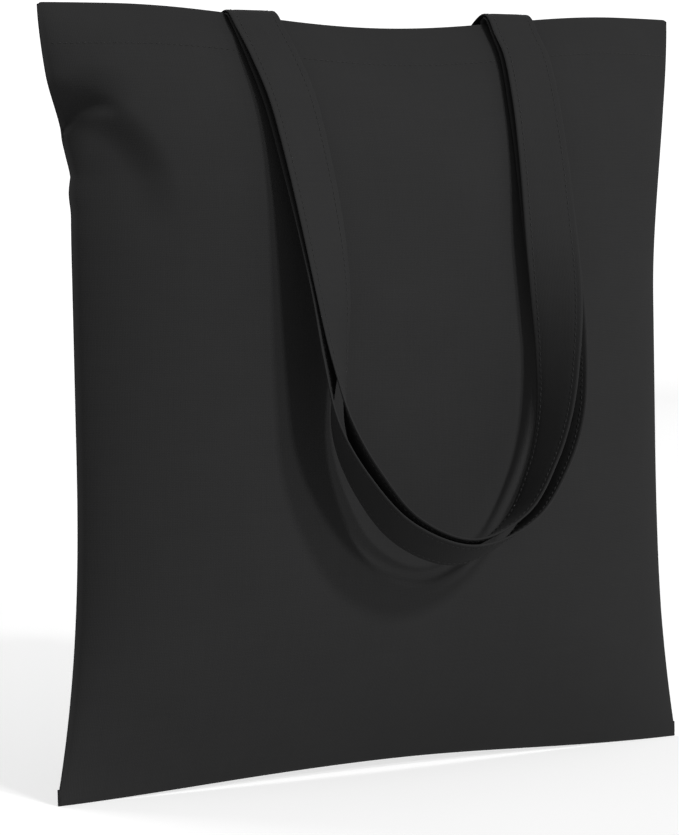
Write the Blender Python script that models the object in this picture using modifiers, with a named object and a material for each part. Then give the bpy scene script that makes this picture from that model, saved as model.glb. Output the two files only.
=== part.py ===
"""Canvas tote bag with two long handles.

Two cloth panels are sewn along the sides and the bottom and swell like a
pillow; the mouth stays open between turned hems. Two webbing handles are
sewn inside the hems and flop over the front of the bag.

Metres, +Z up. The front faces -Y. The origin is on the ground, in the middle
of the whole footprint, handles included; the shapes are worked out about the
plane of the side seams, which lies SEAM_PLANE_Y behind it.
"""

import math

import bmesh
import bpy
from mathutils import Vector

# ---------------------------------------------------------------- dimensions
SEAM_PLANE_Y = 0.0240     # the footprint's middle to the plane of the side seams
HALF_WIDTH = 0.190        # centre line to a corner
HEIGHT = 0.410            # ground to the top corners
SIDE_PULL = 0.0135        # how far the side seams draw in at mid-height
BOTTOM_FLARE = 0.45       # part of the height over which the bottom corners flare
TOP_FLARE = 0.32          # and the top corners
TOP_DIP = 0.0098          # how far the mouth edge sags between the handles
DIP_REACH = 0.82          # part of the half width over which it sags
BOTTOM_RISE = 0.0063      # how far the bottom seam lifts between the corners
HALF_DEPTH = 0.0560       # swell of one panel
MOUTH_SHARE = 0.18        # part of the swell left at the mouth edge
FLAT_SHARE = 0.996        # the swell is cut off here: a small flat in a panel's middle
CLOTH = 0.0008            # canvas thickness
GAP = 0.0003              # clearance between pieces that touch
SEAM_HALF_GAP = 0.0017    # centre plane to a panel's outer face at the seams

SEAM_ALLOWANCE = 0.008
SEAM_EDGE = 0.0008        # a panel's end to the outer edge of the seam allowance
SEAM_THICKNESS = 0.0012   # its two layers, pressed together
SIDE_SEAM_LOW = 0.025     # height shares where a side seam allowance starts
SIDE_SEAM_HIGH = 0.955    # and ends
SIDE_CHAIN_LOW = 0.05     # and those of the thread chain on its cut edge
SIDE_CHAIN_HIGH = 0.95
BOTTOM_SEAM_REACH = 0.94  # parts of the half width that the bottom one covers
BOTTOM_CHAIN_REACH = 0.92
HEM_REACH = 0.985         # and that a hem covers
THREAD_RADIUS = 0.0003
OVERLOCK_RADIUS = 0.0006

STRAP_WIDTH = 0.028
STRAP_THICKNESS = 0.0012
STRAP_CENTRE_X = 0.0775   # centre line of a handle's leg at the mouth
STITCH_INSET = 0.0035     # stitch row to the strap's edge

SWING_Y = -0.0100         # common swing axis of both handles
SWING_Z = 0.4080

# Right half of the back handle, from the mouth down to the middle of its
# bend: centre x, y, z, then the turn of the width about the path's upright
# and its tilt, in degrees, and how far the front handle lies outside it.
LEG_STATIONS = (
    (0.0770, -0.0226, 0.3990, 0.0, 0.0, 0.0024),
    (0.0760, -0.0360, 0.3840, 1.0, 0.0, 0.0042),
    (0.0725, -0.0500, 0.3600, 3.0, 0.0, 0.0056),
    (0.0700, -0.0615, 0.3290, 7.0, 0.0, 0.0050),
    (0.0675, -0.0712, 0.2940, 13.0, 0.0, 0.0036),
    (0.0655, -0.0775, 0.2600, 25.0, 0.0, 0.0024),
    (0.0640, -0.0800, 0.2280, 46.0, 2.0, 0.0034),
    (0.0605, -0.0830, 0.1960, 69.0, 8.0, 0.0056),
    (0.0500, -0.0875, 0.1690, 80.0, 14.0, 0.0054),
    (0.0310, -0.0905, 0.1440, 86.0, 18.0, 0.0036),
    (0.0000, -0.0910, 0.1310, 90.0, 20.0, 0.0026),
)

# The short bends over the mouth edge, as (y, z) of the strap's middle.
BACK_FOLD = (
    (0.0108, 0.4000), (0.0084, 0.4028), (0.0040, 0.4064), (-0.0020, 0.4087),
    (-0.0080, 0.4095), (-0.0130, 0.4091), (-0.0166, 0.4066), (-0.0191, 0.4034),
    (-0.0212, 0.4006),
)
FRONT_FOLD = (
    (-0.0108, 0.4000), (-0.0088, 0.4022), (-0.0076, 0.4046), (-0.0086, 0.4068),
    (-0.0112, 0.4077), (-0.0138, 0.4064), (-0.0162, 0.4034), (-0.0186, 0.4000),
)

PANEL_COLUMNS = 22
PANEL_ROWS = 26
HEM_ROWS = 4              # the hem takes the panel's top rows, 23 mm deep
TAB_LOW_ROWS = 6          # strap ends run from this row below the mouth edge
TAB_HIGH_ROWS = 2         # up to this one
BOX_LOW_ROWS = 3.6        # the low side of a box stitch, just above the hem's row
LOOP_ROWS = 56

CHARCOAL = (0.026, 0.026, 0.027)
THREAD_BLACK = (0.018, 0.018, 0.019)


# ------------------------------------------------------------------ scaffold
def clear_scene():
    for obj in list(bpy.data.objects):
        bpy.data.objects.remove(obj, do_unlink=True)


def make_collection(name):
    collection = bpy.data.collections.new(name)
    bpy.context.scene.collection.children.link(collection)
    return collection


def make_material(name, colour, roughness):
    material = bpy.data.materials.new(name)
    material.use_nodes = True
    shader = material.node_tree.nodes["Principled BSDF"]
    shader.inputs["Base Color"].default_value = (*colour, 1.0)
    shader.inputs["Roughness"].default_value = roughness
    shader.inputs["Metallic"].default_value = 0.0
    return material


def add_empty(name, location, parent=None):
    empty = bpy.data.objects.new(name, None)
    empty.empty_display_size = 0.03
    empty.location = location
    empty.parent = parent
    TOTE.objects.link(empty)
    bpy.context.view_layer.update()
    return empty


def add_object(name, data, colour, roughness):
    """Link a new object on the seam plane and give it a material of its own."""
    obj = bpy.data.objects.new(name, data)
    TOTE.objects.link(obj)
    obj.parent = SEAM_PLANE
    data.materials.append(make_material(name + "_finish", colour, roughness))
    return obj


def add_sheet(name, columns, rows, place, thickness):
    """A cloth sheet: place(u, v) gives its outer face, u and v from 0 to 1.

    The thickness goes to the inner side, away from the face's normal.
    """
    mesh = bpy.data.meshes.new(name)
    grid = bmesh.new()
    bmesh.ops.create_grid(grid, x_segments=columns, y_segments=rows, size=0.5)
    for vert in grid.verts:
        vert.co = place(vert.co.x + 0.5, vert.co.y + 0.5)
    grid.normal_update()
    grid.to_mesh(mesh)
    grid.free()
    mesh.shade_smooth()
    obj = add_object(name, mesh, CHARCOAL, 0.95)
    solid = obj.modifiers.new("cloth thickness", 'SOLIDIFY')
    solid.thickness = thickness
    solid.offset = -1.0
    solid.use_even_offset = True
    return obj


def add_thread(name, points, radius, cyclic=False):
    """A thread as a thin round tube through the points."""
    curve = bpy.data.curves.new(name, 'CURVE')
    curve.dimensions = '3D'
    curve.bevel_depth = radius
    curve.bevel_resolution = 0
    curve.use_fill_caps = True
    spline = curve.splines.new('POLY')
    spline.points.add(len(points) - 1)
    for spot, point in zip(spline.points, points):
        spot.co = (*point, 1.0)
    spline.use_cyclic_u = cyclic
    return add_object(name, curve, THREAD_BLACK, 0.8)


def hang_on_axis(child, axis):
    """Parent a moving piece to its swing axis; its shape keeps its place."""
    child.parent = axis
    child.location = -axis.location


# ------------------------------------------------------------- panel surface
def smoothstep(value):
    value = min(max(value, 0.0), 1.0)
    return value * value * (3.0 - 2.0 * value)


def half_width_at(b):
    """Half the seam-to-seam width at height share b: corners flare out."""
    near_bottom = 1.0 - (1.0 - min(b / BOTTOM_FLARE, 1.0)) ** 2.5
    near_top = smoothstep((1.0 - b) / TOP_FLARE)
    return HALF_WIDTH - SIDE_PULL * near_bottom * near_top


def bottom_edge_at(a):
    if abs(a) >= 1.0:
        return 0.0
    return BOTTOM_RISE * math.cos(0.5 * math.pi * a) ** 1.5


def top_edge_at(a):
    return HEIGHT - TOP_DIP * math.cos(0.5 * math.pi * min(abs(a) / DIP_REACH, 1.0)) ** 2


def swell_at(a, b):
    """How far a panel stands off the centre plane, seam gap left out."""
    across = 1.0 - abs(a) ** 2.8
    if b < 0.5:
        upright = 1.0 - (1.0 - 2.0 * b) ** 3.2
    else:
        upright = 1.0 - (1.0 - MOUTH_SHARE) * (2.0 * b - 1.0) ** 4.4
    return HALF_DEPTH * min(across * upright, FLAT_SHARE)


def outer_point(a, b, side):
    """Outer face of a panel; side is -1 for the front and +1 for the back."""
    bottom = bottom_edge_at(a)
    z = bottom + b * (top_edge_at(a) - bottom)
    y = side * (SEAM_HALF_GAP + swell_at(a, b))
    return Vector((a * half_width_at(b), y, z))


def panel_point(a, b, side, inset=0.0):
    """A point inset along the cloth's normal, towards the bag's inside."""
    point = outer_point(a, b, side)
    if inset == 0.0:
        return point
    step = 0.01
    along_a = outer_point(min(a + step, 1.0), b, side) - outer_point(max(a - step, -1.0), b, side)
    along_b = outer_point(a, min(b + step, 1.0), side) - outer_point(a, max(b - step, 0.0), side)
    normal = along_a.cross(along_b).normalized()
    if normal.y * side < 0.0:
        normal.negate()
    return point - normal * inset


def share_for_x(x):
    """The width share a of a place near the mouth."""
    return x / half_width_at(1.0)


def facing(place, side):
    """Turn a sheet's columns round for the back, so that it faces out."""
    if side < 0:
        return place
    return lambda u, v: place(1.0 - u, v)


def row_level(row):
    """Height share of a cloth row; rows crowd towards the top and the bottom."""
    return 0.5 * (1.0 - math.cos(math.pi * row / PANEL_ROWS))


# -------------------------------------------------------------- body of cloth
def add_panel(name, side):
    def place(u, v):
        return panel_point(2.0 * u - 1.0, row_level(v * PANEL_ROWS), side)
    return add_sheet(name, PANEL_COLUMNS, PANEL_ROWS, facing(place, side), CLOTH)


def add_hem(name, side):
    """The top edge turned in: a second layer inside the panel."""
    def place(u, v):
        a = min(max(2.0 * u - 1.0, -HEM_REACH), HEM_REACH)
        level = row_level(PANEL_ROWS - HEM_ROWS * (1.0 - v))
        return panel_point(a, level, side, CLOTH + GAP)
    return add_sheet(name, PANEL_COLUMNS, HEM_ROWS, facing(place, side), CLOTH)


def add_hem_stitching(name, side):
    level = row_level(PANEL_ROWS - HEM_ROWS)
    points = [
        panel_point(2.0 * i / PANEL_COLUMNS - 1.0, level, side, -(GAP + THREAD_RADIUS))
        for i in range(1, PANEL_COLUMNS)
    ]
    return add_thread(name, points, THREAD_RADIUS)


def add_side_seam(name, hand):
    """Two layers of seam allowance, turned in between the panels."""
    rows = 20

    def place(u, v):
        b = SIDE_SEAM_LOW + (SIDE_SEAM_HIGH - SIDE_SEAM_LOW) * v
        reach = half_width_at(b) - SEAM_EDGE - SEAM_ALLOWANCE * (1.0 - u)
        return Vector((hand * reach, -0.5 * SEAM_THICKNESS, b * HEIGHT))
    return add_sheet(name, 2, rows, facing(place, -hand), SEAM_THICKNESS)


def add_bottom_seam(name):
    """Two layers of seam allowance, turned up between the panels."""
    columns = 24

    def place(u, v):
        a = BOTTOM_SEAM_REACH * (2.0 * u - 1.0)
        z = bottom_edge_at(a) + SEAM_EDGE + SEAM_ALLOWANCE * v
        return Vector((a * HALF_WIDTH, -0.5 * SEAM_THICKNESS, z))
    return add_sheet(name, columns, 2, place, SEAM_THICKNESS)


def add_overlock(name, path):
    """The thread chain that binds the cut edge of a seam allowance."""
    return add_thread(name, path, OVERLOCK_RADIUS)


def side_overlock_path(hand):
    inner = SEAM_ALLOWANCE + SEAM_EDGE + GAP + OVERLOCK_RADIUS
    count = 24
    points = []
    for i in range(count):
        b = SIDE_CHAIN_LOW + (SIDE_CHAIN_HIGH - SIDE_CHAIN_LOW) * i / (count - 1)
        points.append(Vector((hand * (half_width_at(b) - inner), 0.0, b * HEIGHT)))
    return points


def bottom_overlock_path():
    lift = SEAM_ALLOWANCE + SEAM_EDGE + GAP + OVERLOCK_RADIUS
    count = 26
    points = []
    for i in range(count):
        a = BOTTOM_CHAIN_REACH * (2.0 * i / (count - 1) - 1.0)
        points.append(Vector((a * HALF_WIDTH, 0.0, bottom_edge_at(a) + lift)))
    return points


# -------------------------------------------------------------------- handles
def catmull(stations, t):
    """A smooth curve through the stations, t from 0 to 1."""
    last = len(stations) - 1
    place = min(max(t, 0.0), 1.0) * last
    k = min(int(place), last - 1)
    f = place - k
    p1, p2 = stations[k], stations[k + 1]
    p0 = stations[k - 1] if k > 0 else [2.0 * m - n for m, n in zip(p1, p2)]
    p3 = stations[k + 2] if k + 2 <= last else [2.0 * n - m for m, n in zip(p1, p2)]
    return [
        0.5 * (2.0 * q1 + (q2 - q0) * f
               + (2.0 * q0 - 5.0 * q1 + 4.0 * q2 - q3) * f * f
               + (3.0 * q1 - q0 - 3.0 * q2 + q3) * f ** 3)
        for q0, q1, q2, q3 in zip(p0, p1, p2, p3)
    ]


def full_loop_stations():
    """Right leg, bend and left leg; the turn runs on from 90 to 180 degrees."""
    right = [list(s) for s in LEG_STATIONS]
    left = [[-s[0], s[1], s[2], 180.0 - s[3], s[4], s[5]] for s in reversed(LEG_STATIONS[:-1])]
    return right + left


LOOP = full_loop_stations()


def width_direction(turn, tilt):
    """From the strap's middle to the edge that is outermost at the mouth."""
    turn = math.radians(turn)
    tilt = math.radians(tilt)
    flat = Vector((math.cos(turn), -math.sin(turn), 0.0))
    return (flat * math.cos(tilt) + Vector((0.0, 0.0, math.sin(tilt)))).normalized()


def strap_frame(t):
    """Centre, width direction and outward normal of the back handle at t."""
    x, y, z, turn, tilt, spread = catmull(LOOP, t)
    centre = Vector((x, y, z))
    step = 0.002
    ahead = Vector(catmull(LOOP, t + step)[:3])
    behind = Vector(catmull(LOOP, t - step)[:3])
    tangent = (ahead - behind).normalized()
    width = width_direction(turn, tilt)
    width = (width - tangent * width.dot(tangent)).normalized()
    outward = width.cross(tangent).normalized()
    return centre, width, outward, spread


def strap_point(t, share, layer, lift=0.0):
    """share runs from -1 to 1 across; layer is 0 for the back handle, 1 for the front."""
    centre, width, outward, spread = strap_frame(t)
    return centre + width * (0.5 * STRAP_WIDTH * share) + outward * (spread * layer - lift)


def add_loop(name, layer):
    """The part of a handle that swings, with its mid-plane on the path."""
    def place(u, v):
        return strap_point(v, 2.0 * u - 1.0, layer, -0.5 * STRAP_THICKNESS)
    return add_sheet(name, 3, LOOP_ROWS, place, STRAP_THICKNESS)


def add_loop_stitching(name, layer, edge):
    share = edge * (1.0 - 2.0 * STITCH_INSET / STRAP_WIDTH)
    lift = 0.5 * STRAP_THICKNESS + GAP + THREAD_RADIUS
    points = [strap_point(i / LOOP_ROWS, share, layer, lift) for i in range(1, LOOP_ROWS)]
    return add_thread(name, points, THREAD_RADIUS)


def add_fold(name, hand, path):
    """The bend of a strap over the mouth edge, straight across its width."""
    rows = 10

    def place(u, v):
        y, z = catmull(path, v)
        ahead = catmull(path, v + 0.01)
        behind = catmull(path, v - 0.01)
        direction = Vector((0.0, ahead[0] - behind[0], ahead[1] - behind[1])).normalized()
        outward = Vector((0.0, direction.z, -direction.y))
        x = hand * STRAP_CENTRE_X + (u - 0.5) * STRAP_WIDTH
        return Vector((x, y, z)) - outward * (0.5 * STRAP_THICKNESS)
    return add_sheet(name, 2, rows, place, STRAP_THICKNESS)


def tab_place(hand, side):
    """Outer face of a strap end, which lies against the inside of its hem."""
    inset = 2.0 * (CLOTH + GAP)

    def place(u, v):
        x = hand * STRAP_CENTRE_X + (u - 0.5) * STRAP_WIDTH
        rows_down = TAB_LOW_ROWS + v * (TAB_HIGH_ROWS - TAB_LOW_ROWS)
        return panel_point(share_for_x(x), row_level(PANEL_ROWS - rows_down), side, inset)
    return facing(place, side)


def add_tab(name, hand, side):
    rows = TAB_LOW_ROWS - TAB_HIGH_ROWS
    return add_sheet(name, 3, rows, tab_place(hand, side), STRAP_THICKNESS)


def add_box_stitch(name, hand, side):
    """The square of stitches that holds a strap end, seen on the outside."""
    half = 0.5 * STRAP_WIDTH - STITCH_INSET
    low = PANEL_ROWS - BOX_LOW_ROWS
    high = PANEL_ROWS - TAB_HIGH_ROWS
    corners = ((-half, low), (half, low), (half, high), (-half, high))
    per_side = 4
    points = []
    for k, (x0, row0) in enumerate(corners):
        x1, row1 = corners[(k + 1) % 4]
        for i in range(per_side):
            f = i / per_side
            x = hand * STRAP_CENTRE_X + x0 + (x1 - x0) * f
            level = row_level(row0 + (row1 - row0) * f)
            points.append(panel_point(share_for_x(x), level, side, -(GAP + THREAD_RADIUS)))
    return add_thread(name, points, THREAD_RADIUS, cyclic=True)


# ------------------------------------------------------------------- assembly
clear_scene()
TOTE = make_collection("canvas_tote_bag")
SEAM_PLANE = add_empty("seam_plane", (0.0, SEAM_PLANE_Y, 0.0))

for panel_side, word in ((-1, "front"), (1, "back")):
    add_panel(word + "_panel", panel_side)
    add_hem(word + "_hem_fold", panel_side)
    add_hem_stitching(word + "_hem_stitching", panel_side)
    for hand_sign, hand_word in ((-1, "left"), (1, "right")):
        add_tab("{}_{}_strap_end".format(word, hand_word), hand_sign, panel_side)
        add_box_stitch("{}_{}_box_stitch".format(word, hand_word), hand_sign, panel_side)

for hand_sign, hand_word in ((-1, "left"), (1, "right")):
    add_side_seam(hand_word + "_seam_allowance", hand_sign)
    add_overlock(hand_word + "_overlock_thread", side_overlock_path(hand_sign))
add_bottom_seam("bottom_seam_allowance")
add_overlock("bottom_overlock_thread", bottom_overlock_path())

for strap_layer, word, fold_path in ((0, "back", BACK_FOLD), (1, "front", FRONT_FOLD)):
    swing_axis = add_empty(word + "_handle_axis", (0.0, SWING_Y, SWING_Z), SEAM_PLANE)
    pieces = [add_loop(word + "_handle_loop", strap_layer)]
    for row_edge, row_word in ((1, "outer"), (-1, "inner")):
        pieces.append(add_loop_stitching("{}_handle_{}_stitching".format(word, row_word),
                                         strap_layer, row_edge))
    for piece in pieces:
        hang_on_axis(piece, swing_axis)
    for hand_sign, hand_word in ((-1, "left"), (1, "right")):
        add_fold("{}_{}_strap_fold".format(word, hand_word), hand_sign, fold_path)
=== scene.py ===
"""Looks for the canvas tote bag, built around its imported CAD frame.

The body is two cloth panels with turned hems and sewn seams, the handles are
two lengths of webbing, and every row of stitches is made of single stitches.
Metres, in the row frame: the front faces -Y and the ground is z = 0.
"""

import math

import bpy
from mathutils import Matrix, Vector


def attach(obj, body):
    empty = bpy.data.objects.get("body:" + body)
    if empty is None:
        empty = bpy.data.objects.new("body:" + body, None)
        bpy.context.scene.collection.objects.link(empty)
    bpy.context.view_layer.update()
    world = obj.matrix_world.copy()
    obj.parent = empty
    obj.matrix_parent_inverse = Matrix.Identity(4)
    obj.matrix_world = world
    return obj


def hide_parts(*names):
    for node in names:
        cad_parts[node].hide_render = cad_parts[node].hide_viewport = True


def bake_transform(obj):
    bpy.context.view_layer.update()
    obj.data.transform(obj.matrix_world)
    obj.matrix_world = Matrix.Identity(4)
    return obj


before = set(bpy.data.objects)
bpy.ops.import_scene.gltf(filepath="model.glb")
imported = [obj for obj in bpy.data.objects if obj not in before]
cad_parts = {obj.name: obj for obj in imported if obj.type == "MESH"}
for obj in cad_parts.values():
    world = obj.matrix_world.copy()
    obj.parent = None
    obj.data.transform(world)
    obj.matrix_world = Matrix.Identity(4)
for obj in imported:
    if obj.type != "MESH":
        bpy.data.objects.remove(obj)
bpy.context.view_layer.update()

# -------------------------------------------------------------------- camera
AIM = Vector((-0.02327, 0.0240, 0.19279))
DISTANCE = 1.47236
AZIMUTH = math.radians(-27.441)
ELEVATION = math.radians(3.1537)
ROLL = math.radians(-1.1039)

back = Vector((math.sin(AZIMUTH) * math.cos(ELEVATION),
               -math.cos(AZIMUTH) * math.cos(ELEVATION),
               math.sin(ELEVATION)))
right = Vector((0.0, 0.0, 1.0)).cross(back).normalized()
up = back.cross(right)
rolled_right = right * math.cos(ROLL) + up * math.sin(ROLL)
rolled_up = up * math.cos(ROLL) - right * math.sin(ROLL)

lens = bpy.data.cameras.new("camera")
lens.lens = 118.22
lens.sensor_width = 36.0
lens.clip_start = 0.05
lens.clip_end = 60.0
camera = bpy.data.objects.new("camera", lens)
bpy.context.scene.collection.objects.link(camera)
camera.matrix_world = Matrix((
    (rolled_right.x, rolled_up.x, back.x, AIM.x + back.x * DISTANCE),
    (rolled_right.y, rolled_up.y, back.y, AIM.y + back.y * DISTANCE),
    (rolled_right.z, rolled_up.z, back.z, AIM.z + back.z * DISTANCE),
    (0.0, 0.0, 0.0, 1.0)))
bpy.context.scene.camera = camera

# ---------------------------------------------------------------- dimensions
SEAM_PLANE_Y = 0.0240     # the footprint's middle to the plane of the side seams
HALF_WIDTH = 0.190
HEIGHT = 0.410
TOP_DIP = 0.0098          # how far the mouth edge sags between the handles
DIP_REACH = 0.82          # part of the half width over which it sags
BOTTOM_RISE = 0.0063      # how far the bottom seam lifts between the corners
BOTTOM_FLARE = 0.45       # part of the height over which the bottom corners flare
HALF_DEPTH = 0.0560       # swell of one panel
MOUTH_SHARE = 0.18        # part of the swell left at the mouth edge
CLOTH = 0.0008            # canvas thickness
HEM_DEPTH = 0.0225
HEM_RADIUS = 0.00095      # of the cloth's turn at the mouth
SEAM_RADIUS = 0.00085     # of the cloth's turn into a seam
SEAM_ALLOWANCE = 0.0085
SEAM_TURN_QUADS = 3       # quads round the turn into a seam
SEAM_QUADS = 6            # and with those along the allowance

STRAP_WIDTH = 0.028
STRAP_THICKNESS = 0.0012
STRAP_CENTRE_X = 0.0775   # centre line of a handle's leg at the mouth
STITCH_INSET = 0.0035     # stitch row to the strap's edge
STITCH_PITCH = 0.0031
STITCH_LENGTH = 0.0024
STITCH_RADIUS = 0.00024
STITCH_SINK = 0.00008     # how far the webbing's stitches lie in its surface
HEM_STITCH_INSET = 0.0015     # hem stitch row to the hem's lower edge
BINDING_WIDTH = 0.0027    # of the stitches over the cut edge of a seam allowance
SIDE_BINDING_LOW = 0.03   # height share where a side seam's binding starts
SIDE_BINDING_RUN = 0.94   # and the share of the height that it covers
BOTTOM_BINDING_REACH = 0.95   # part of the half width that the bottom one covers
SIDE_BINDING_STITCHES = 130
BOTTOM_BINDING_STITCHES = 120

# A side seam draws in by PULL, over the top share TURN of the height.
LEFT_PULL, LEFT_TURN = 0.0155, 0.215
RIGHT_PULL, RIGHT_TURN = 0.0122, 0.38

# A handle's legs from the mouth down to its bend: centre x, y, z, the turn of
# the width about the upright and its tilt in degrees, then how far the front
# handle lies outside the back one and how much further it tilts.
RIGHT_LEG = (
    (0.0770, -0.0226, 0.3990, 0.0, 0.0, 0.0024, 0.0),
    (0.0760, -0.0360, 0.3840, 1.0, 0.0, 0.0042, 0.0),
    (0.0727, -0.0498, 0.3600, 4.0, 0.0, 0.0056, 0.0),
    (0.0702, -0.0608, 0.3290, 10.0, 0.0, 0.0055, 0.0),
    (0.0684, -0.0692, 0.2940, 20.0, 0.0, 0.0050, 0.0),
    (0.0682, -0.0742, 0.2600, 40.0, 1.0, 0.0055, 0.0),
    (0.0668, -0.0775, 0.2280, 62.0, 3.0, 0.0072, 0.0),
    (0.0612, -0.0825, 0.1960, 76.0, 8.0, 0.0088, 1.0),
    (0.0500, -0.0870, 0.1685, 83.0, 14.0, 0.0080, 3.0),
    (0.0310, -0.0905, 0.1420, 87.0, 18.0, 0.0062, 5.0),
)
BEND = (0.0000, -0.0910, 0.1292, 90.0, 20.0, 0.0048, 6.0)
LEFT_LEG = (
    (-0.0770, -0.0226, 0.3985, 0.0, 0.0, 0.0024, 0.0),
    (-0.0760, -0.0360, 0.3840, 1.0, 0.0, 0.0042, 0.0),
    (-0.0725, -0.0500, 0.3600, 3.0, 0.0, 0.0056, 0.0),
    (-0.0700, -0.0615, 0.3290, 7.0, 0.0, 0.0050, 0.0),
    (-0.0675, -0.0712, 0.2940, 13.0, 0.0, 0.0036, 0.0),
    (-0.0655, -0.0775, 0.2600, 25.0, 0.0, 0.0028, 0.0),
    (-0.0640, -0.0800, 0.2280, 46.0, 2.0, 0.0044, 2.0),
    (-0.0610, -0.0830, 0.1955, 69.0, 8.0, 0.0070, 5.0),
    (-0.0506, -0.0875, 0.1682, 80.0, 14.0, 0.0072, 6.0),
    (-0.0312, -0.0905, 0.1422, 86.0, 18.0, 0.0058, 7.0),
)
# The bends over the mouth edge, as (y, z); each starts from its sewn end.
BACK_FOLD = (
    (0.0040, 0.4028), (-0.0010, 0.4058), (-0.0060, 0.4082), (-0.0105, 0.4092),
    (-0.0145, 0.4084), (-0.0176, 0.4056), (-0.0201, 0.4022),
)
FRONT_FOLD = (
    (-0.0088, 0.4022), (-0.0076, 0.4046), (-0.0086, 0.4068),
    (-0.0112, 0.4077), (-0.0138, 0.4064), (-0.0162, 0.4034),
)
# For each handle: its layer, its name, its bend and where the bend starts and ends, y.
HANDLES = (
    (0, "back", BACK_FOLD, 0.0108, -0.0212),
    (1, "front", FRONT_FOLD, -0.0108, -0.0200),
)
FOLD_BASE_Z = 0.400       # the bends are measured up from here,
LEFT_FOLD_SHARE = 0.80    # and the left ones lie lower over the mouth edge
TAB_TOP = 0.3985          # where a strap leaves the inside of its hem
TAB_FOOT = 0.0450         # its sewn end below the mouth edge
BOX_LOW = 0.0185          # a box stitch's low side below the mouth edge
BOX_HIGH = 0.0050         # and its high side

# Under the top left corner the cloth rounds out into a lobe and dips behind it, and
# all of it lies lower than the flat corner, inside a wide arc. The cloth is drawn in
# along DRAWN_BACK; the arcs are placed by distances along DRAWN_ACROSS and upward.
DRAWN_BACK = Vector((0.46, 0.886, 0.0))
DRAWN_ACROSS = Vector((0.886, -0.46, 0.0))
LOBE_CENTRE = (-0.1400, 0.3340)
LOBE_RADIUS = 0.0185
LOBE_CREST = 0.0016
LOBE_DIP = 0.0088
SLOPE_CENTRE = (-0.1700, 0.3000)
SLOPE_RADIUS = 0.0735
SLOPE_RUN = 0.0240
SLOPE_DEPTH = 0.0108
BACK_FOLLOW = 0.25        # part of the half width over which the back panel follows
OVERHANG = 0.0012         # how far the lobe hangs out over the left seam
OVERHANG_LEVEL = 0.765    # the height share of its middle
OVERHANG_REACH = 0.030    # and how far it runs up and down from there

COLUMNS = 150             # quads across a panel's outside
ROWS = 170                # and up it
HEM_REACH = 0.985         # part of the half width that a hem covers

# The room's light is strongest from this side, and falls off to the other.
ROOM_BRIGHT_SIDE = (0.22, -0.78, -0.25)
ROOM_DARK = 0.06
ROOM_BRIGHT = 0.64
SOFTBOX_AIM = Vector((0.0, 0.0, 0.22))
SOFTBOX_DISTANCE = 6.0


# ----------------------------------------------------------------- materials
class Graph:
    """Short calls for building a node tree."""

    def __init__(self, name):
        self.material = bpy.data.materials.new(name)
        self.material.use_nodes = True
        self.nodes = self.material.node_tree.nodes
        self.links = self.material.node_tree.links
        self.shader = self.nodes["Principled BSDF"]

    def add(self, kind, inputs=(), **settings):
        node = self.nodes.new(kind)
        for key, value in settings.items():
            setattr(node, key, value)
        for key, value in dict(inputs).items():
            self.put(node.inputs[key], value)
        return node

    def put(self, socket, value):
        if isinstance(value, bpy.types.NodeSocket):
            self.links.new(value, socket)
        else:
            socket.default_value = value

    def math(self, operation, *values):
        node = self.add("ShaderNodeMath", operation=operation)
        for socket, value in zip(node.inputs, values):
            self.put(socket, value)
        return node.outputs[0]

    def noise(self, vector, scale, detail=2.0, roughness=0.5):
        node = self.add("ShaderNodeTexNoise", {
            "Vector": vector, "Scale": scale, "Detail": detail, "Roughness": roughness})
        return node.outputs["Fac"]

    def span(self, value, low, high):
        """Maps 0..1 to low..high."""
        node = self.add("ShaderNodeMapRange", {"Value": value, "To Min": low, "To Max": high})
        return node.outputs["Result"]

    def scaled(self, vector, x, y, z=1.0):
        node = self.add("ShaderNodeVectorMath", {0: vector, 1: (x, y, z)}, operation='MULTIPLY')
        return node.outputs[0]

    def colours(self, fac, stops):
        node = self.add("ShaderNodeValToRGB", {"Fac": fac})
        ramp = node.color_ramp
        while len(ramp.elements) < len(stops):
            ramp.elements.new(0.5)
        for element, (place, grey) in zip(ramp.elements, stops):
            element.position = place
            element.color = (grey, grey, grey * 1.01, 1.0)
        return node.outputs["Color"]


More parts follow.
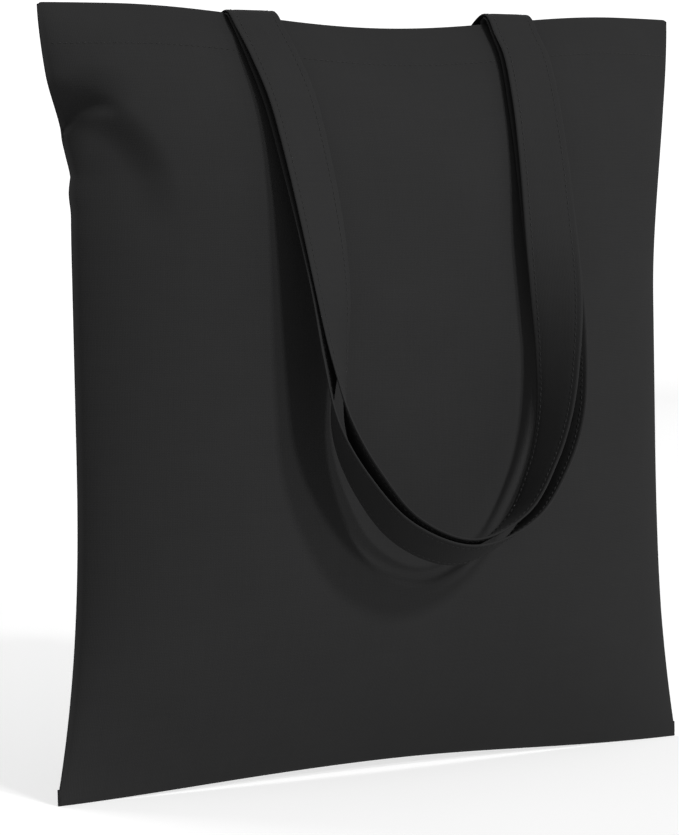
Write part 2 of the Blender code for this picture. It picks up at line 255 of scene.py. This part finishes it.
def woven(name, grey, pitch_u, pitch_v, relief, roughness, twill=False):
    """Cotton cloth in plain or twill weave; the UV map is in metres of flat cloth."""
    g = Graph(name)
    flat = g.add("ShaderNodeUVMap", uv_map="cloth").outputs["UV"]
    wander = g.noise(flat, 55.0, 2.0)
    parts = g.add("ShaderNodeSeparateXYZ", {0: flat})
    u = g.math('ADD', parts.outputs["X"], g.span(wander, -0.0006, 0.0006))
    v = g.math('ADD', parts.outputs["Y"], g.span(wander, 0.0006, -0.0006))
    su = g.math('SINE', g.math('MULTIPLY', u, math.pi / pitch_u))
    phase = g.math('MULTIPLY', v, math.pi / pitch_v)
    if twill:
        phase = g.math('ADD', phase, g.math('MULTIPLY', u, 0.5 * math.pi / pitch_u))
    sv = g.math('SINE', phase)
    crossing = g.math('MULTIPLY', su, sv)
    warp = g.math('ADD', g.math('ABSOLUTE', su), crossing)
    weft = g.math('SUBTRACT', g.math('ABSOLUTE', sv), crossing)
    weave = g.math('MULTIPLY', g.math('MAXIMUM', warp, weft), 0.5)

    along = g.noise(g.scaled(flat, 900.0, 26.0), 1.0, 2.0)
    across = g.noise(g.scaled(flat, 26.0, 900.0), 1.0, 2.0)
    slub = g.math('MULTIPLY', g.math('ADD', along, across), 0.5)
    cloudy = g.noise(flat, 17.0, 4.0, 0.6)
    fuzz = g.noise(flat, 2600.0, 2.0)

    tone = g.math('ADD', g.math('MULTIPLY', weave, 0.30), g.math('MULTIPLY', slub, 0.42))
    tone = g.math('ADD', tone, g.math('MULTIPLY', cloudy, 0.36))
    tone = g.math('ADD', tone, g.math('MULTIPLY', fuzz, 0.10))
    g.put(g.shader.inputs["Base Color"],
          g.colours(tone, ((0.25, grey * 0.82), (0.60, grey), (0.95, grey * 1.18))))
    g.put(g.shader.inputs["Roughness"], g.span(slub, roughness - 0.06, min(roughness + 0.06, 1.0)))

    height = g.math('ADD', weave, g.math('MULTIPLY', slub, 0.5))
    height = g.math('ADD', height, g.math('MULTIPLY', fuzz, 0.25))
    bump = g.add("ShaderNodeBump", {"Height": height, "Strength": 0.35, "Distance": relief})
    soft = g.add("ShaderNodeBump", {"Height": cloudy, "Strength": 0.25, "Distance": 0.0012,
                                    "Normal": bump.outputs["Normal"]})
    g.put(g.shader.inputs["Normal"], soft.outputs["Normal"])
    g.shader.inputs["Specular IOR Level"].default_value = 0.08
    g.shader.inputs["Sheen Weight"].default_value = 0.02
    g.shader.inputs["Sheen Roughness"].default_value = 0.5
    return g.material


def sewing_thread(name, grey):
    """Twisted two-ply thread; the UV map runs round and along each stitch in metres."""
    g = Graph(name)
    flat = g.add("ShaderNodeUVMap", uv_map="cloth").outputs["UV"]
    parts = g.add("ShaderNodeSeparateXYZ", {0: flat})
    turn = g.math('ADD', g.math('MULTIPLY', parts.outputs["X"], 3300.0),
                  g.math('MULTIPLY', parts.outputs["Y"], 5200.0))
    ply = g.math('ABSOLUTE', g.math('SINE', turn))
    lint = g.noise(flat, 3000.0, 2.0)
    tone = g.math('ADD', g.math('MULTIPLY', ply, 0.6), g.math('MULTIPLY', lint, 0.4))
    g.put(g.shader.inputs["Base Color"], g.colours(tone, ((0.1, grey * 0.6), (0.9, grey * 1.2))))
    g.put(g.shader.inputs["Roughness"], g.span(lint, 0.62, 0.78))
    bump = g.add("ShaderNodeBump", {"Height": ply, "Strength": 0.5, "Distance": 0.00008})
    g.put(g.shader.inputs["Normal"], bump.outputs["Normal"])
    g.shader.inputs["Specular IOR Level"].default_value = 0.25
    g.shader.inputs["Sheen Weight"].default_value = 0.1
    return g.material


CANVAS = woven("black_canvas", 0.0235, 0.00085, 0.00085, 0.00016, 0.92)
WEBBING = woven("black_webbing", 0.0235, 0.00080, 0.00105, 0.00018, 0.88, twill=True)
THREAD = sewing_thread("black_thread", 0.017)


# -------------------------------------------------------------------- meshes
def smoothstep(value):
    value = min(max(value, 0.0), 1.0)
    return value * value * (3.0 - 2.0 * value)


def make_piece(name, verts, faces, uvs, material):
    """A smooth-shaded piece; uvs holds one (u, v) for each vertex, in metres."""
    mesh = bpy.data.meshes.new(name)
    mesh.from_pydata([v + Vector((0.0, SEAM_PLANE_Y, 0.0)) for v in verts], [], faces)
    layer = mesh.uv_layers.new(name="cloth")
    for loop in mesh.loops:
        layer.data[loop.index].uv = uvs[loop.vertex_index]
    mesh.shade_smooth()
    mesh.materials.append(material)
    mesh.update()
    obj = bpy.data.objects.new(name, mesh)
    bpy.context.scene.collection.objects.link(obj)
    return obj


def thicken(obj, thickness):
    """Gives a sheet its thickness on the side away from its normals, and applies it."""
    solid = obj.modifiers.new("cloth", 'SOLIDIFY')
    solid.thickness = thickness
    solid.offset = -1.0
    bpy.context.view_layer.update()
    graph = bpy.context.evaluated_depsgraph_get()
    made = bpy.data.meshes.new_from_object(obj.evaluated_get(graph))
    obj.modifiers.clear()
    obj.data = made
    return obj


# ------------------------------------------------------------- panel surface
def half_width_at(b, a):
    """Half the width at height share b; the left seam turns in lower down than the right."""
    near_bottom = 1.0 - (1.0 - min(b / BOTTOM_FLARE, 1.0)) ** 2.5
    left = LEFT_PULL * min((1.0 - b) / LEFT_TURN, 1.0) ** 1.6
    left -= OVERHANG * bump_at(b, OVERHANG_LEVEL, OVERHANG_REACH)
    right_side = RIGHT_PULL * smoothstep((1.0 - b) / RIGHT_TURN)
    blend = smoothstep(0.5 * (a + 1.0))
    return HALF_WIDTH - near_bottom * (left + (right_side - left) * blend)


def bottom_edge_at(a):
    if abs(a) >= 1.0:
        return SEAM_RADIUS
    shape = math.cos(0.5 * math.pi * a) ** (1.6 + 0.6 * smoothstep(0.5 + a))
    return SEAM_RADIUS + (BOTTOM_RISE - SEAM_RADIUS) * shape


def top_edge_at(a):
    return HEIGHT - TOP_DIP * math.cos(0.5 * math.pi * min(abs(a) / DIP_REACH, 1.0)) ** 2


def bump_at(value, centre, width):
    """A smooth hill of height 1 with the given half-width."""
    return smoothstep(1.0 - abs(value - centre) / width)


def corner_fold(point, a):
    """Shares of the dip behind the lobe under the top left corner, and of the lobe."""
    x = point.dot(DRAWN_ACROSS) - LOBE_CENTRE[0]
    z = point.z - LOBE_CENTRE[1]
    outside = math.hypot(x, z) - LOBE_RADIUS
    angle = math.degrees(math.atan2(z, -x))    # from outward (0) to upward (90)
    here = smoothstep((angle + 35.0) / 40.0) * smoothstep((130.0 - angle) / 60.0)
    dip = smoothstep(outside / 0.006) * smoothstep((0.028 - outside) / 0.022)
    lobe = smoothstep((outside + 0.016) / 0.013) * smoothstep((0.004 - outside) / 0.005)
    return dip * here, lobe * here * smoothstep((1.0 + a) / 0.06)


def corner_slope(point):
    """Share of the drop from the flat corner to the cloth under it."""
    x = point.dot(DRAWN_ACROSS) - SLOPE_CENTRE[0]
    z = point.z - SLOPE_CENTRE[1]
    inside = SLOPE_RADIUS - math.hypot(x, z)
    return smoothstep(inside / SLOPE_RUN) * smoothstep((z + 0.015) / 0.065)


def swell_at(a, b):
    """How far a panel stands off the centre plane."""
    across = (1.0 - min(abs(a), 1.0) ** 3.0) ** 0.72
    if b < 0.5:
        upright = 1.0 - (1.0 - 2.0 * b) ** 3.2
    else:
        upright = 1.0 - (1.0 - MOUTH_SHARE) * (2.0 * b - 1.0) ** 4.4
    return HALF_DEPTH * across * upright


def outer_point(a, b, side):
    """Outer face of a panel; side is -1 for the front and +1 for the back."""
    bottom = bottom_edge_at(a)
    z = bottom + b * (top_edge_at(a) - bottom)
    point = Vector((a * half_width_at(b, a), side * (SEAM_RADIUS + swell_at(a, b)), z))
    if side < 0.0 and a < 0.0 and b > 0.5:
        dip, lobe = corner_fold(point, a)
        drop = LOBE_DIP * dip + SLOPE_DEPTH * corner_slope(point) - LOBE_CREST * lobe
        point += DRAWN_BACK * drop
    elif side > 0.0 and a < BACK_FOLLOW - 1.0 and b > 0.5:
        # The back panel goes along with the front at their seam.
        seam = Vector((-half_width_at(b, -1.0), -SEAM_RADIUS, z))
        dip, _ = corner_fold(seam, -1.0)
        drop = LOBE_DIP * dip + SLOPE_DEPTH * corner_slope(seam)
        point += DRAWN_BACK * (drop * smoothstep((BACK_FOLLOW - 1.0 - a) / BACK_FOLLOW))
    return point


def outward_at(a, b, side):
    """Unit normal of a panel's outer face."""
    step = 0.004
    along_a = outer_point(min(a + step, 1.0), b, side) - outer_point(max(a - step, -1.0), b, side)
    along_b = outer_point(a, min(b + step, 1.0), side) - outer_point(a, max(b - step, 0.0), side)
    normal = along_a.cross(along_b).normalized()
    return normal if normal.y * side > 0.0 else -normal


def column_share(i):
    """Width share of a column, -1 to 1; the columns crowd towards the seams."""
    s = 2.0 * i / COLUMNS - 1.0
    return 0.55 * s + 0.45 * math.sin(0.5 * math.pi * s)


def row_share(j):
    """Height share of a row, 0 to 1; the rows crowd towards the bottom and the mouth."""
    s = 2.0 * j / ROWS - 1.0
    return 0.5 + 0.5 * (0.45 * s + 0.55 * math.sin(0.5 * math.pi * s))


def flat_lengths(rows):
    """Flat-cloth coordinates: distance along a row and up the middle column."""
    middle = len(rows[0]) // 2
    heights = [0.0]
    for low, high in zip(rows, rows[1:]):
        heights.append(heights[-1] + (high[middle] - low[middle]).length)
    table = []
    for row, height in zip(rows, heights):
        run = [0.0]
        for p, q in zip(row, row[1:]):
            run.append(run[-1] + (q - p).length)
        table.append([(r - run[middle], height) for r in run])
    return table


def grid_piece(name, rows, material, flip, keep):
    """A quad mesh through rows of points; keep(i, j) drops a face where it is false."""
    table = flat_lengths(rows)
    columns = len(rows[0])
    verts = [p for row in rows for p in row]
    uvs = [uv for row in table for uv in row]
    faces = []
    for j in range(len(rows) - 1):
        for i in range(columns - 1):
            if not keep(i, j):
                continue
            quad = (j * columns + i, j * columns + i + 1,
                    (j + 1) * columns + i + 1, (j + 1) * columns + i)
            faces.append(quad[::-1] if flip else quad)
    used = sorted({k for f in faces for k in f})
    place = {k: n for n, k in enumerate(used)}
    return make_piece(name, [verts[k] for k in used],
                      [tuple(place[k] for k in f) for f in faces],
                      [uvs[k] for k in used], material)


def seam_turn(k):
    """Steps of a seam's turned edge, outward and towards the seam plane, at quad k."""
    angle = 0.5 * math.pi * min(k, SEAM_TURN_QUADS) / SEAM_TURN_QUADS
    past = max(k - SEAM_TURN_QUADS, 0) / (SEAM_QUADS - SEAM_TURN_QUADS)
    out = SEAM_RADIUS * math.sin(angle) - SEAM_ALLOWANCE * past
    return out, SEAM_RADIUS * (1.0 - math.cos(angle))


def add_panel(word, side):
    """One panel in one piece: seam allowances, outside, turned top edge and hem."""
    shares = [column_share(i) for i in range(COLUMNS + 1)]
    outside = [[outer_point(a, row_share(j), side) for a in shares] for j in range(ROWS + 1)]
    # The cloth turns over at the mouth and runs down inside as the hem.
    crown = [p.copy() for p in outside[-1]]
    for row in outside:
        for i, p in enumerate(row):
            near = smoothstep((p.z - crown[i].z + 0.02) / 0.02)
            p.z -= HEM_RADIUS * near
    turn_rows = 7
    for k in range(1, turn_rows + 1):
        angle = math.pi * k / turn_rows
        row = []
        for i, p in enumerate(outside[ROWS]):
            in_x = -shares[i] * (1.0 - HEM_REACH) * HALF_WIDTH * k / turn_rows
            in_y = -side * HEM_RADIUS * (1.0 - math.cos(angle))
            row.append(p + Vector((in_x, in_y, HEM_RADIUS * math.sin(angle))))
        outside.append(row)
    hem_rows = 16
    for k in range(1, hem_rows + 1):
        drop = HEM_DEPTH * k / hem_rows
        row = []
        for a in shares:
            held = a * HEM_REACH
            level = 1.0 - drop / (top_edge_at(a) - bottom_edge_at(a))
            point = outer_point(held, level, side)
            point -= outward_at(held, level, side) * 2.0 * HEM_RADIUS
            point.z -= HEM_RADIUS
            row.append(point)
        outside.append(row)

    # Each side edge turns in round the seam and runs inward as its allowance.
    rows = []
    for row in outside:
        left, right_end = [], []
        for k in range(1, SEAM_QUADS + 1):
            out, depth = seam_turn(k)
            left.append(row[0] + Vector((-out, -side * depth, 0.0)))
            right_end.append(row[-1] + Vector((out, -side * depth, 0.0)))
        rows.append([*reversed(left), *row, *right_end])
    # So does the bottom edge.
    edge = rows[0]
    for k in range(1, SEAM_QUADS + 1):
        out, depth = seam_turn(k)
        rows.insert(0, [p + Vector((0.0, -side * depth, -out)) for p in edge])

    def keep(i, j):
        """Leaves the side allowances off the hem and off the bottom corners."""
        beside = i < SEAM_QUADS or i >= SEAM_QUADS + COLUMNS
        on_panel_rows = SEAM_QUADS + SEAM_TURN_QUADS <= j < SEAM_QUADS + ROWS
        return on_panel_rows or not beside

    obj = grid_piece(word + "_cloth", rows, CANVAS, side > 0, keep)
    thicken(obj, CLOTH)
    return obj


front_cloth = add_panel("front", -1.0)
back_cloth = add_panel("back", 1.0)
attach(front_cloth, "bag")
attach(back_cloth, "bag")


# ------------------------------------------------------------------- handles
def catmull(stations, t):
    """A smooth curve through the stations, t from 0 to 1."""
    last = len(stations) - 1
    place = min(max(t, 0.0), 1.0) * last
    k = min(int(place), last - 1)
    f = place - k
    p1, p2 = stations[k], stations[k + 1]
    p0 = stations[k - 1] if k > 0 else [2.0 * m - n for m, n in zip(p1, p2)]
    p3 = stations[k + 2] if k + 2 <= last else [2.0 * n - m for m, n in zip(p1, p2)]
    return [
        0.5 * (2.0 * q1 + (q2 - q0) * f
               + (2.0 * q0 - 5.0 * q1 + 4.0 * q2 - q3) * f * f
               + (3.0 * q1 - q0 - 3.0 * q2 + q3) * f ** 3)
        for q0, q1, q2, q3 in zip(p0, p1, p2, p3)
    ]


def width_direction(turn, tilt):
    """From the strap's middle to the edge that is outermost at the mouth."""
    turn = math.radians(turn)
    tilt = math.radians(tilt)
    flat = Vector((math.cos(turn), -math.sin(turn), 0.0))
    return (flat * math.cos(tilt) + Vector((0.0, 0.0, math.sin(tilt)))).normalized()


def loop_frames(layer, count):
    """Centres and width directions down the right leg, round the bend and up the left."""
    stations = [*RIGHT_LEG, BEND]
    stations += [(x, y, z, 180.0 - turn, tilt, spread, more)
                 for x, y, z, turn, tilt, spread, more in reversed(LEFT_LEG)]
    frames = []
    for k in range(count + 1):
        t = k / count
        x, y, z, turn, tilt, spread, more = catmull(stations, t)
        step = 0.002
        ahead = Vector(catmull(stations, t + step)[:3])
        behind = Vector(catmull(stations, t - step)[:3])
        tangent = (ahead - behind).normalized()
        width = width_direction(turn, tilt + more * layer)
        width = (width - tangent * width.dot(tangent)).normalized()
        outward = width.cross(tangent).normalized()
        frames.append((Vector((x, y, z)) + outward * spread * layer, width))
    return frames


def tab_frames(hand, side):
    """The sewn end of a strap inside its hem, from its foot up to TAB_TOP."""
    a = hand * STRAP_CENTRE_X / half_width_at(1.0, 0.0)
    top = top_edge_at(a)
    foot = top - TAB_FOOT
    steps = 22
    centres = []
    for k in range(steps + 1):
        level = (foot + (TAB_TOP - foot) * k / steps) / top
        normal = outward_at(a, level, side)
        inset = 2.0 * HEM_RADIUS + 0.0003 + 0.5 * STRAP_THICKNESS
        centre = outer_point(a, level, side) - normal * inset
        centre.x = hand * STRAP_CENTRE_X
        centres.append(centre)
    across = Vector((1.0, 0.0, 0.0))
    made = []
    for k, centre in enumerate(centres):
        tangent = (centres[min(k + 1, steps)] - centres[max(k - 1, 0)]).normalized()
        made.append((centre, across, across.cross(tangent).normalized(), tangent))
    return made


def fold_line(hand, side, fold):
    """Middle of a strap from its sewn end over the mouth edge."""
    share = LEFT_FOLD_SHARE if hand < 0.0 else 1.0
    end = tab_frames(hand, side)[-1][0]
    rest = [(y, FOLD_BASE_Z + (z - FOLD_BASE_Z) * share) for y, z in fold]
    return [(end.y, end.z), *rest]


def handle_frames(layer, fold):
    """The whole handle, evenly spaced, from the right strap end to the left one."""
    side = -1.0 if layer else 1.0
    fold_count = 18
    over = []
    for k in range(fold_count):
        y, z = catmull(fold_line(1.0, side, fold), k / (fold_count - 1))
        over.append((Vector((STRAP_CENTRE_X, y, z)), Vector((1.0, 0.0, 0.0))))
    other = []
    for k in reversed(range(fold_count)):
        y, z = catmull(fold_line(-1.0, side, fold), k / (fold_count - 1))
        other.append((Vector((-STRAP_CENTRE_X, y, z)), Vector((-1.0, 0.0, 0.0))))
    frames = over + loop_frames(layer, 220) + other
    # Even spacing, then a light smoothing across the joins.
    run = [0.0]
    for (p, _), (q, _) in zip(frames, frames[1:]):
        run.append(run[-1] + (q - p).length)
    count = int(run[-1] / 0.0022)
    even = []
    k = 0
    for n in range(count + 1):
        goal = run[-1] * n / count
        while k < len(run) - 2 and run[k + 1] < goal:
            k += 1
        f = (goal - run[k]) / max(run[k + 1] - run[k], 1e-9)
        even.append((frames[k][0].lerp(frames[k + 1][0], f),
                     frames[k][1].lerp(frames[k + 1][1], f)))
    for _ in range(2):
        soft = [even[0]]
        for a, b, c in zip(even, even[1:], even[2:]):
            soft.append(((a[0] + b[0] * 2.0 + c[0]) * 0.25, (a[1] + b[1] * 2.0 + c[1]) * 0.25))
        soft.append(even[-1])
        even = soft
    made = []
    for n, (p, w) in enumerate(even):
        before = even[max(n - 1, 0)][0]
        after = even[min(n + 1, count)][0]
        tangent = (after - before).normalized()
        w = (w - tangent * w.dot(tangent)).normalized()
        made.append((p, w, w.cross(tangent).normalized(), tangent))
    return made


def strap_section():
    """Half thickness across the webbing: rounded selvedges and a groove at each stitch row."""
    half = 0.5 * STRAP_WIDTH
    rim = 0.5 * STRAP_THICKNESS
    places = []
    count = 28
    for k in range(count + 1):
        s = math.sin(0.5 * math.pi * (2.0 * k / count - 1.0)) * 0.35 + (2.0 * k / count - 1.0) * 0.65
        x = s * half
        edge = half - abs(x)
        thick = rim * math.sqrt(max(1.0 - (1.0 - min(edge / rim, 1.0)) ** 2, 0.0))
        groove = 0.00012 * bump_at(edge, STITCH_INSET, 0.0011)
        puff = 0.00010 * smoothstep((edge - STITCH_INSET) / 0.004)
        places.append((x, max(thick - groove + puff, 0.00005)))
    return places


def add_webbing(name, frames, material):
    """A closed strap along the frames."""
    section = strap_section()
    ring = [(x, t) for x, t in section] + [(x, -t) for x, t in reversed(section)]
    girth = [0.0]
    for (x0, t0), (x1, t1) in zip(ring, ring[1:]):
        girth.append(girth[-1] + math.hypot(x1 - x0, t1 - t0))
    verts, uvs, faces = [], [], []
    run = 0.0
    n = len(ring)
    for k, (p, w, outward, _) in enumerate(frames):
        if k:
            run += (p - frames[k - 1][0]).length
        for (x, t), around in zip(ring, girth):
            verts.append(p + w * x - outward * t)
            uvs.append((around, run))
    for k in range(len(frames) - 1):
        for i in range(n):
            j = (i + 1) % n
            faces.append((k * n + i, k * n + j, (k + 1) * n + j, (k + 1) * n + i))
    faces.append(tuple(reversed(range(n))))
    faces.append(tuple(range((len(frames) - 1) * n, len(frames) * n)))
    return make_piece(name, verts, faces, uvs, material)


def place_on_run(run, lengths, goal):
    """Point and outward direction at a distance along a run of (point, outward)."""
    k = 0
    while k < len(lengths) - 2 and lengths[k + 1] < goal:
        k += 1
    f = (goal - lengths[k]) / max(lengths[k + 1] - lengths[k], 1e-9)
    f = min(max(f, 0.0), 1.0)
    return run[k][0].lerp(run[k + 1][0], f), run[k][1].lerp(run[k + 1][1], f)


def stitch_rows(name, runs):
    """Rows of single stitches; each run is a list of (point, outward) along the seam."""
    verts, uvs, faces = [], [], []
    rings, sides = 6, 6
    for run in runs:
        lengths = [0.0]
        for (p, _), (q, _) in zip(run, run[1:]):
            lengths.append(lengths[-1] + (q - p).length)
        count = max(int(lengths[-1] / STITCH_PITCH), 1)
        pitch = lengths[-1] / count
        for n in range(count):
            start = (n + 0.5) * pitch - 0.5 * STITCH_LENGTH
            p, out = place_on_run(run, lengths, start)
            q, _ = place_on_run(run, lengths, start + STITCH_LENGTH)
            along = q - p
            if along.length < 1e-6:
                continue
            along.normalize()
            out = (out - along * out.dot(along)).normalized()
            across = along.cross(out)
            first = len(verts)
            for r in range(rings + 1):
                s = r / rings
                girth = STITCH_RADIUS * math.sqrt(max(1.0 - (2.0 * s - 1.0) ** 6, 0.03))
                rise = STITCH_RADIUS * (0.55 - 1.5 * (2.0 * s - 1.0) ** 4)
                centre = p.lerp(q, s) + out * rise
                for c in range(sides):
                    angle = 2.0 * math.pi * c / sides
                    verts.append(centre + across * girth * math.cos(angle)
                                 + out * girth * 0.8 * math.sin(angle))
                    uvs.append((STITCH_RADIUS * angle, STITCH_LENGTH * s + 0.01 * n))
            for r in range(rings):
                for c in range(sides):
                    d = (c + 1) % sides
                    faces.append((first + r * sides + c, first + r * sides + d,
                                  first + (r + 1) * sides + d, first + (r + 1) * sides + c))
            faces.append(tuple(first + c for c in reversed(range(sides))))
            faces.append(tuple(first + rings * sides + c for c in range(sides)))
    return make_piece(name, verts, faces, uvs, THREAD)


for layer, word, fold, start_y, end_y in HANDLES:
    frames = handle_frames(layer, fold)
    strap = add_webbing(word + "_handle_webbing", frames, WEBBING)
    rows = []
    for edge in (-1.0, 1.0):
        for face in (-1.0, 1.0):
            reach = edge * (0.5 * STRAP_WIDTH - STITCH_INSET)
            lift = face * (0.5 * STRAP_THICKNESS - STITCH_SINK)
            rows.append([(p + w * reach - o * lift, -o * face) for p, w, o, _ in frames[2:-2]])
    sewing = stitch_rows(word + "_handle_stitches", rows)
    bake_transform(strap)
    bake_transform(sewing)
    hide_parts(word + "_handle_loop", word + "_left_strap_fold", word + "_right_strap_fold")
    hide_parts(word + "_handle_outer_stitching", word + "_handle_inner_stitching")

# Strap ends sewn inside the hems.
for side, word in ((-1.0, "front"), (1.0, "back")):
    for hand, hand_word in ((-1.0, "left"), (1.0, "right")):
        made = tab_frames(hand, side)
        tab = add_webbing("{}_{}_strap_tab".format(word, hand_word), made, WEBBING)
        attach(tab, "bag")
        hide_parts("{}_{}_strap_end".format(word, hand_word))


# ------------------------------------------------------------------ stitching
def on_panel(x, drop, side):
    """Place and outward direction on a panel, from x and the distance below the mouth."""
    a = x / half_width_at(1.0, 0.0)
    level = 1.0 - drop / (top_edge_at(a) - bottom_edge_at(a))
    return outer_point(a, level, side), outward_at(a, level, side)


for side, word in ((-1.0, "front"), (1.0, "back")):
    row = []
    for i in range(COLUMNS + 1):
        a = column_share(i)
        if abs(a) > HEM_REACH:
            continue
        drop = HEM_DEPTH - HEM_STITCH_INSET
        level = 1.0 - drop / (top_edge_at(a) - bottom_edge_at(a))
        row.append((outer_point(a, level, side), outward_at(a, level, side)))
    hem_sewing = stitch_rows(word + "_hem_stitches", [row])
    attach(hem_sewing, "bag")
    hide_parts(word + "_hem_stitching")
    for hand, hand_word in ((-1.0, "left"), (1.0, "right")):
        middle = hand * STRAP_CENTRE_X
        half = 0.5 * STRAP_WIDTH - STITCH_INSET
        corners = [(middle - half, BOX_LOW), (middle + half, BOX_LOW),
                   (middle + half, BOX_HIGH), (middle - half, BOX_HIGH)]
        lines = [(corners[k], corners[(k + 1) % 4]) for k in range(4)]
        lines += [(corners[0], corners[2]), (corners[1], corners[3])]
        runs = []
        for (x0, d0), (x1, d1) in lines:
            runs.append([on_panel(x0 + (x1 - x0) * f / 8.0, d0 + (d1 - d0) * f / 8.0, side)
                         for f in range(9)])
        box = stitch_rows("{}_{}_box_stitches".format(word, hand_word), runs)
        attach(box, "bag")
        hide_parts("{}_{}_box_stitch".format(word, hand_word))

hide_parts("front_panel", "front_hem_fold", "left_seam_allowance",
            "bottom_seam_allowance")
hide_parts("back_panel", "back_hem_fold", "right_seam_allowance")

# ------------------------------------------- thread binding of the cut edges
def bind_edge(word, seam_at, inward, count):
    """Slanting stitches on both faces of a seam allowance and a row along its cut edge."""
    cut = SEAM_ALLOWANCE - SEAM_RADIUS
    lift = CLOTH + 0.5 * STITCH_RADIUS
    runs = [[(seam_at(k / count) + inward * (cut + STITCH_RADIUS), inward)
             for k in range(count + 1)]]
    for face in (-1.0, 1.0):
        out = Vector((0.0, face, 0.0))
        for k in range(count):
            low = seam_at(k / count) + inward * cut + out * lift
            high = seam_at((k + 0.6) / count) + inward * (cut - BINDING_WIDTH) + out * lift
            runs.append([(low, out), (high, out)])
    binding = stitch_rows(word + "_overlock_stitches", runs)
    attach(binding, "bag")
    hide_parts(word + "_overlock_thread")


def side_seam_at(hand):
    """A side seam's line as a function of the share of its length."""
    def place(f):
        point = outer_point(hand, SIDE_BINDING_LOW + SIDE_BINDING_RUN * f, -1.0)
        return point + Vector((0.0, SEAM_RADIUS, 0.0))
    return place


def bottom_seam_at(f):
    """The bottom seam's line, f from 0 at the left to 1 at the right."""
    point = outer_point(BOTTOM_BINDING_REACH * (2.0 * f - 1.0), 0.0, -1.0)
    return point + Vector((0.0, SEAM_RADIUS, 0.0))


bind_edge("left", side_seam_at(-1.0), Vector((1.0, 0.0, 0.0)), SIDE_BINDING_STITCHES)
bind_edge("right", side_seam_at(1.0), Vector((-1.0, 0.0, 0.0)), SIDE_BINDING_STITCHES)
bind_edge("bottom", bottom_seam_at, Vector((0.0, 0.0, 1.0)), BOTTOM_BINDING_STITCHES)


# -------------------------------------------------------------- studio set-up
def add_stage():
    """A white floor that curves up into a far wall all round."""
    verts, faces = [(0.0, 0.0, 0.0)], []
    sides = 96
    profile = [(0.5, 0.0), (1.5, 0.0), (4.0, 0.0), (6.0, 0.0), (7.2, 0.25), (8.2, 1.0),
               (8.8, 2.2), (9.0, 4.0), (9.0, 9.0)]
    for radius, z in profile:
        for k in range(sides):
            angle = 2.0 * math.pi * k / sides
            verts.append((radius * math.cos(angle), radius * math.sin(angle), z))
    for k in range(sides):
        faces.append((0, 1 + k, 1 + (k + 1) % sides))
    for r in range(len(profile) - 1):
        for k in range(sides):
            a = 1 + r * sides + k
            b = 1 + r * sides + (k + 1) % sides
            faces.append((a, a + sides, b + sides, b))
    mesh = bpy.data.meshes.new("floor")
    mesh.from_pydata(verts, [], faces)
    mesh.shade_smooth()
    g = Graph("white_paper")
    g.shader.inputs["Base Color"].default_value = (0.62, 0.62, 0.62, 1.0)
    g.shader.inputs["Roughness"].default_value = 1.0
    g.shader.inputs["Specular IOR Level"].default_value = 0.0
    g.shader.inputs["Emission Color"].default_value = (1.0, 1.0, 1.0, 1.0)
    # The far wall glows more than the floor, which takes the bag's shadow.
    place = g.add("ShaderNodeTexCoord").outputs["Object"]
    distance = g.add("ShaderNodeVectorMath", {0: place}, operation='LENGTH').outputs["Value"]
    glow = g.add("ShaderNodeMapRange", {"Value": distance, "From Min": 4.0, "From Max": 6.5,
                                        "To Min": 0.55, "To Max": 0.80})
    g.put(g.shader.inputs["Emission Strength"], glow.outputs["Result"])
    mesh.materials.append(g.material)
    floor = bpy.data.objects.new("floor", mesh)
    bpy.context.scene.collection.objects.link(floor)
    floor.visible_diffuse = False
    floor.visible_glossy = False
    floor.visible_shadow = False
    return floor


def add_room():
    """Soft light from all round, strongest from the front and a little from the right."""
    world = bpy.data.worlds.new("soft_room")
    world.use_nodes = True
    nodes, links = world.node_tree.nodes, world.node_tree.links
    place = nodes.new("ShaderNodeTexCoord")
    lean = nodes.new("ShaderNodeVectorMath")
    lean.operation = 'DOT_PRODUCT'
    lean.inputs[1].default_value = ROOM_BRIGHT_SIDE
    links.new(place.outputs["Generated"], lean.inputs[0])
    level = nodes.new("ShaderNodeMapRange")
    level.inputs["From Min"].default_value = -1.0
    level.inputs["From Max"].default_value = 1.0
    level.inputs["To Min"].default_value = ROOM_DARK
    level.inputs["To Max"].default_value = ROOM_BRIGHT
    links.new(lean.outputs["Value"], level.inputs["Value"])
    links.new(level.outputs["Result"], nodes["Background"].inputs["Strength"])
    nodes["Background"].inputs["Color"].default_value = (1.0, 1.0, 1.0, 1.0)
    bpy.context.scene.world = world


add_stage()
add_room()
bpy.context.scene.view_settings.view_transform = 'Standard'


def add_softbox(name, direction, size, share):
    """A square softbox; share is its part of the light on a surface that faces it."""
    light = bpy.data.lights.new(name, 'AREA')
    light.size = size
    light.energy = share * math.pi ** 2 * SOFTBOX_DISTANCE ** 2
    obj = bpy.data.objects.new(name, light)
    bpy.context.scene.collection.objects.link(obj)
    toward = Vector(direction).normalized()
    obj.location = SOFTBOX_AIM + toward * SOFTBOX_DISTANCE
    obj.rotation_mode = 'QUATERNION'
    obj.rotation_quaternion = (-toward).to_track_quat('-Z', 'Y')


add_softbox("low_key", (0.10, -1.0, 0.38), 0.44, 0.36)
add_softbox("high_key", (0.26, -1.0, 0.68), 0.44, 0.36)
add_softbox("back_fill", (-0.35, 1.0, 0.80), 3.20, 0.42)
